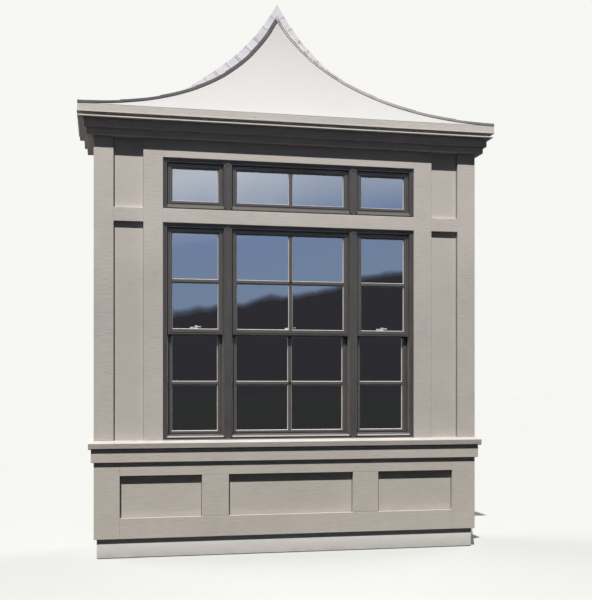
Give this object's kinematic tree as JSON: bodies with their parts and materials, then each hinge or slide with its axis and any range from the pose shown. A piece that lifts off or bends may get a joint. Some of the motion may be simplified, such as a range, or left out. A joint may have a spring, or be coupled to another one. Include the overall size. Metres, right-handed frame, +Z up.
{
  "type": "bay window",
  "caption": "Square timber bay window with double-hung sashes under transoms, panelled base, stepped cornice and swept roof that leans on a house wall.",
  "frame": {"origin": "on the ground, under the middle of the whole in width and depth", "axes": "+X to the right as seen from outside, +Y towards the house wall, +Z up"},
  "size_m": [2.991, 0.698, 4.1501],
  "materials": {
    "masonry": "rough",
    "base_siding": "satin paint",
    "base_boards": "satin paint",
    "siding": "satin paint",
    "trim": "satin paint",
    "window_paint": "satin paint",
    "window_glass": "gloss",
    "lock_paint": "gloss",
    "ceiling_paint": "matte paint",
    "inside_wood": "bare",
    "drip_paint": "satin",
    "crown_paint": "satin paint",
    "roof_white": "matte paint",
    "shingles": "weathered",
    "flashing": "dull"
  },
  "bodies": {
    "root": {"plinth": "masonry", "base_walls": "base_siding", "base_stiles": "base_boards", "base_rails": "base_boards", "band_course": "base_boards", "sill_course": "trim", "window_seat": "inside_wood", "front_wall_left": "siding", "front_wall_right": "siding", "side_wall_left": "siding", "side_wall_right": "siding", "window_headers": "siding", "transom_rail": "trim", "corner_boards": "trim", "casing_stiles": "trim", "cross_rails": "trim", "head_rail": "trim", "main_frame": "window_paint", "transom_frame": "window_paint", "mull_posts": "window_paint", "upper_sash_left": "window_paint", "upper_sash_middle": "window_paint", "upper_sash_right": "window_paint", "lower_sash_left": "window_paint", "lower_sash_middle": "window_paint", "lower_sash_right": "window_paint", "transom_sash_left": "window_paint", "transom_sash_middle": "window_paint", "transom_sash_right": "window_paint", "upper_glass": "window_glass", "lower_glass": "window_glass", "transom_glass": "window_glass", "sash_locks": "lock_paint", "ceiling_board": "ceiling_paint", "cornice_blocking": "inside_wood", "cornice_bed": "trim", "cornice_mid": "trim", "cornice_drip": "drip_paint", "crown_block": "trim", "crown_fascia": "crown_paint", "wall_rafters": "inside_wood", "roof_front": "roof_white", "roof_sheathing": "inside_wood", "side_shingles": "shingles", "step_flashing": "flashing"}
  },
  "joints": []
}
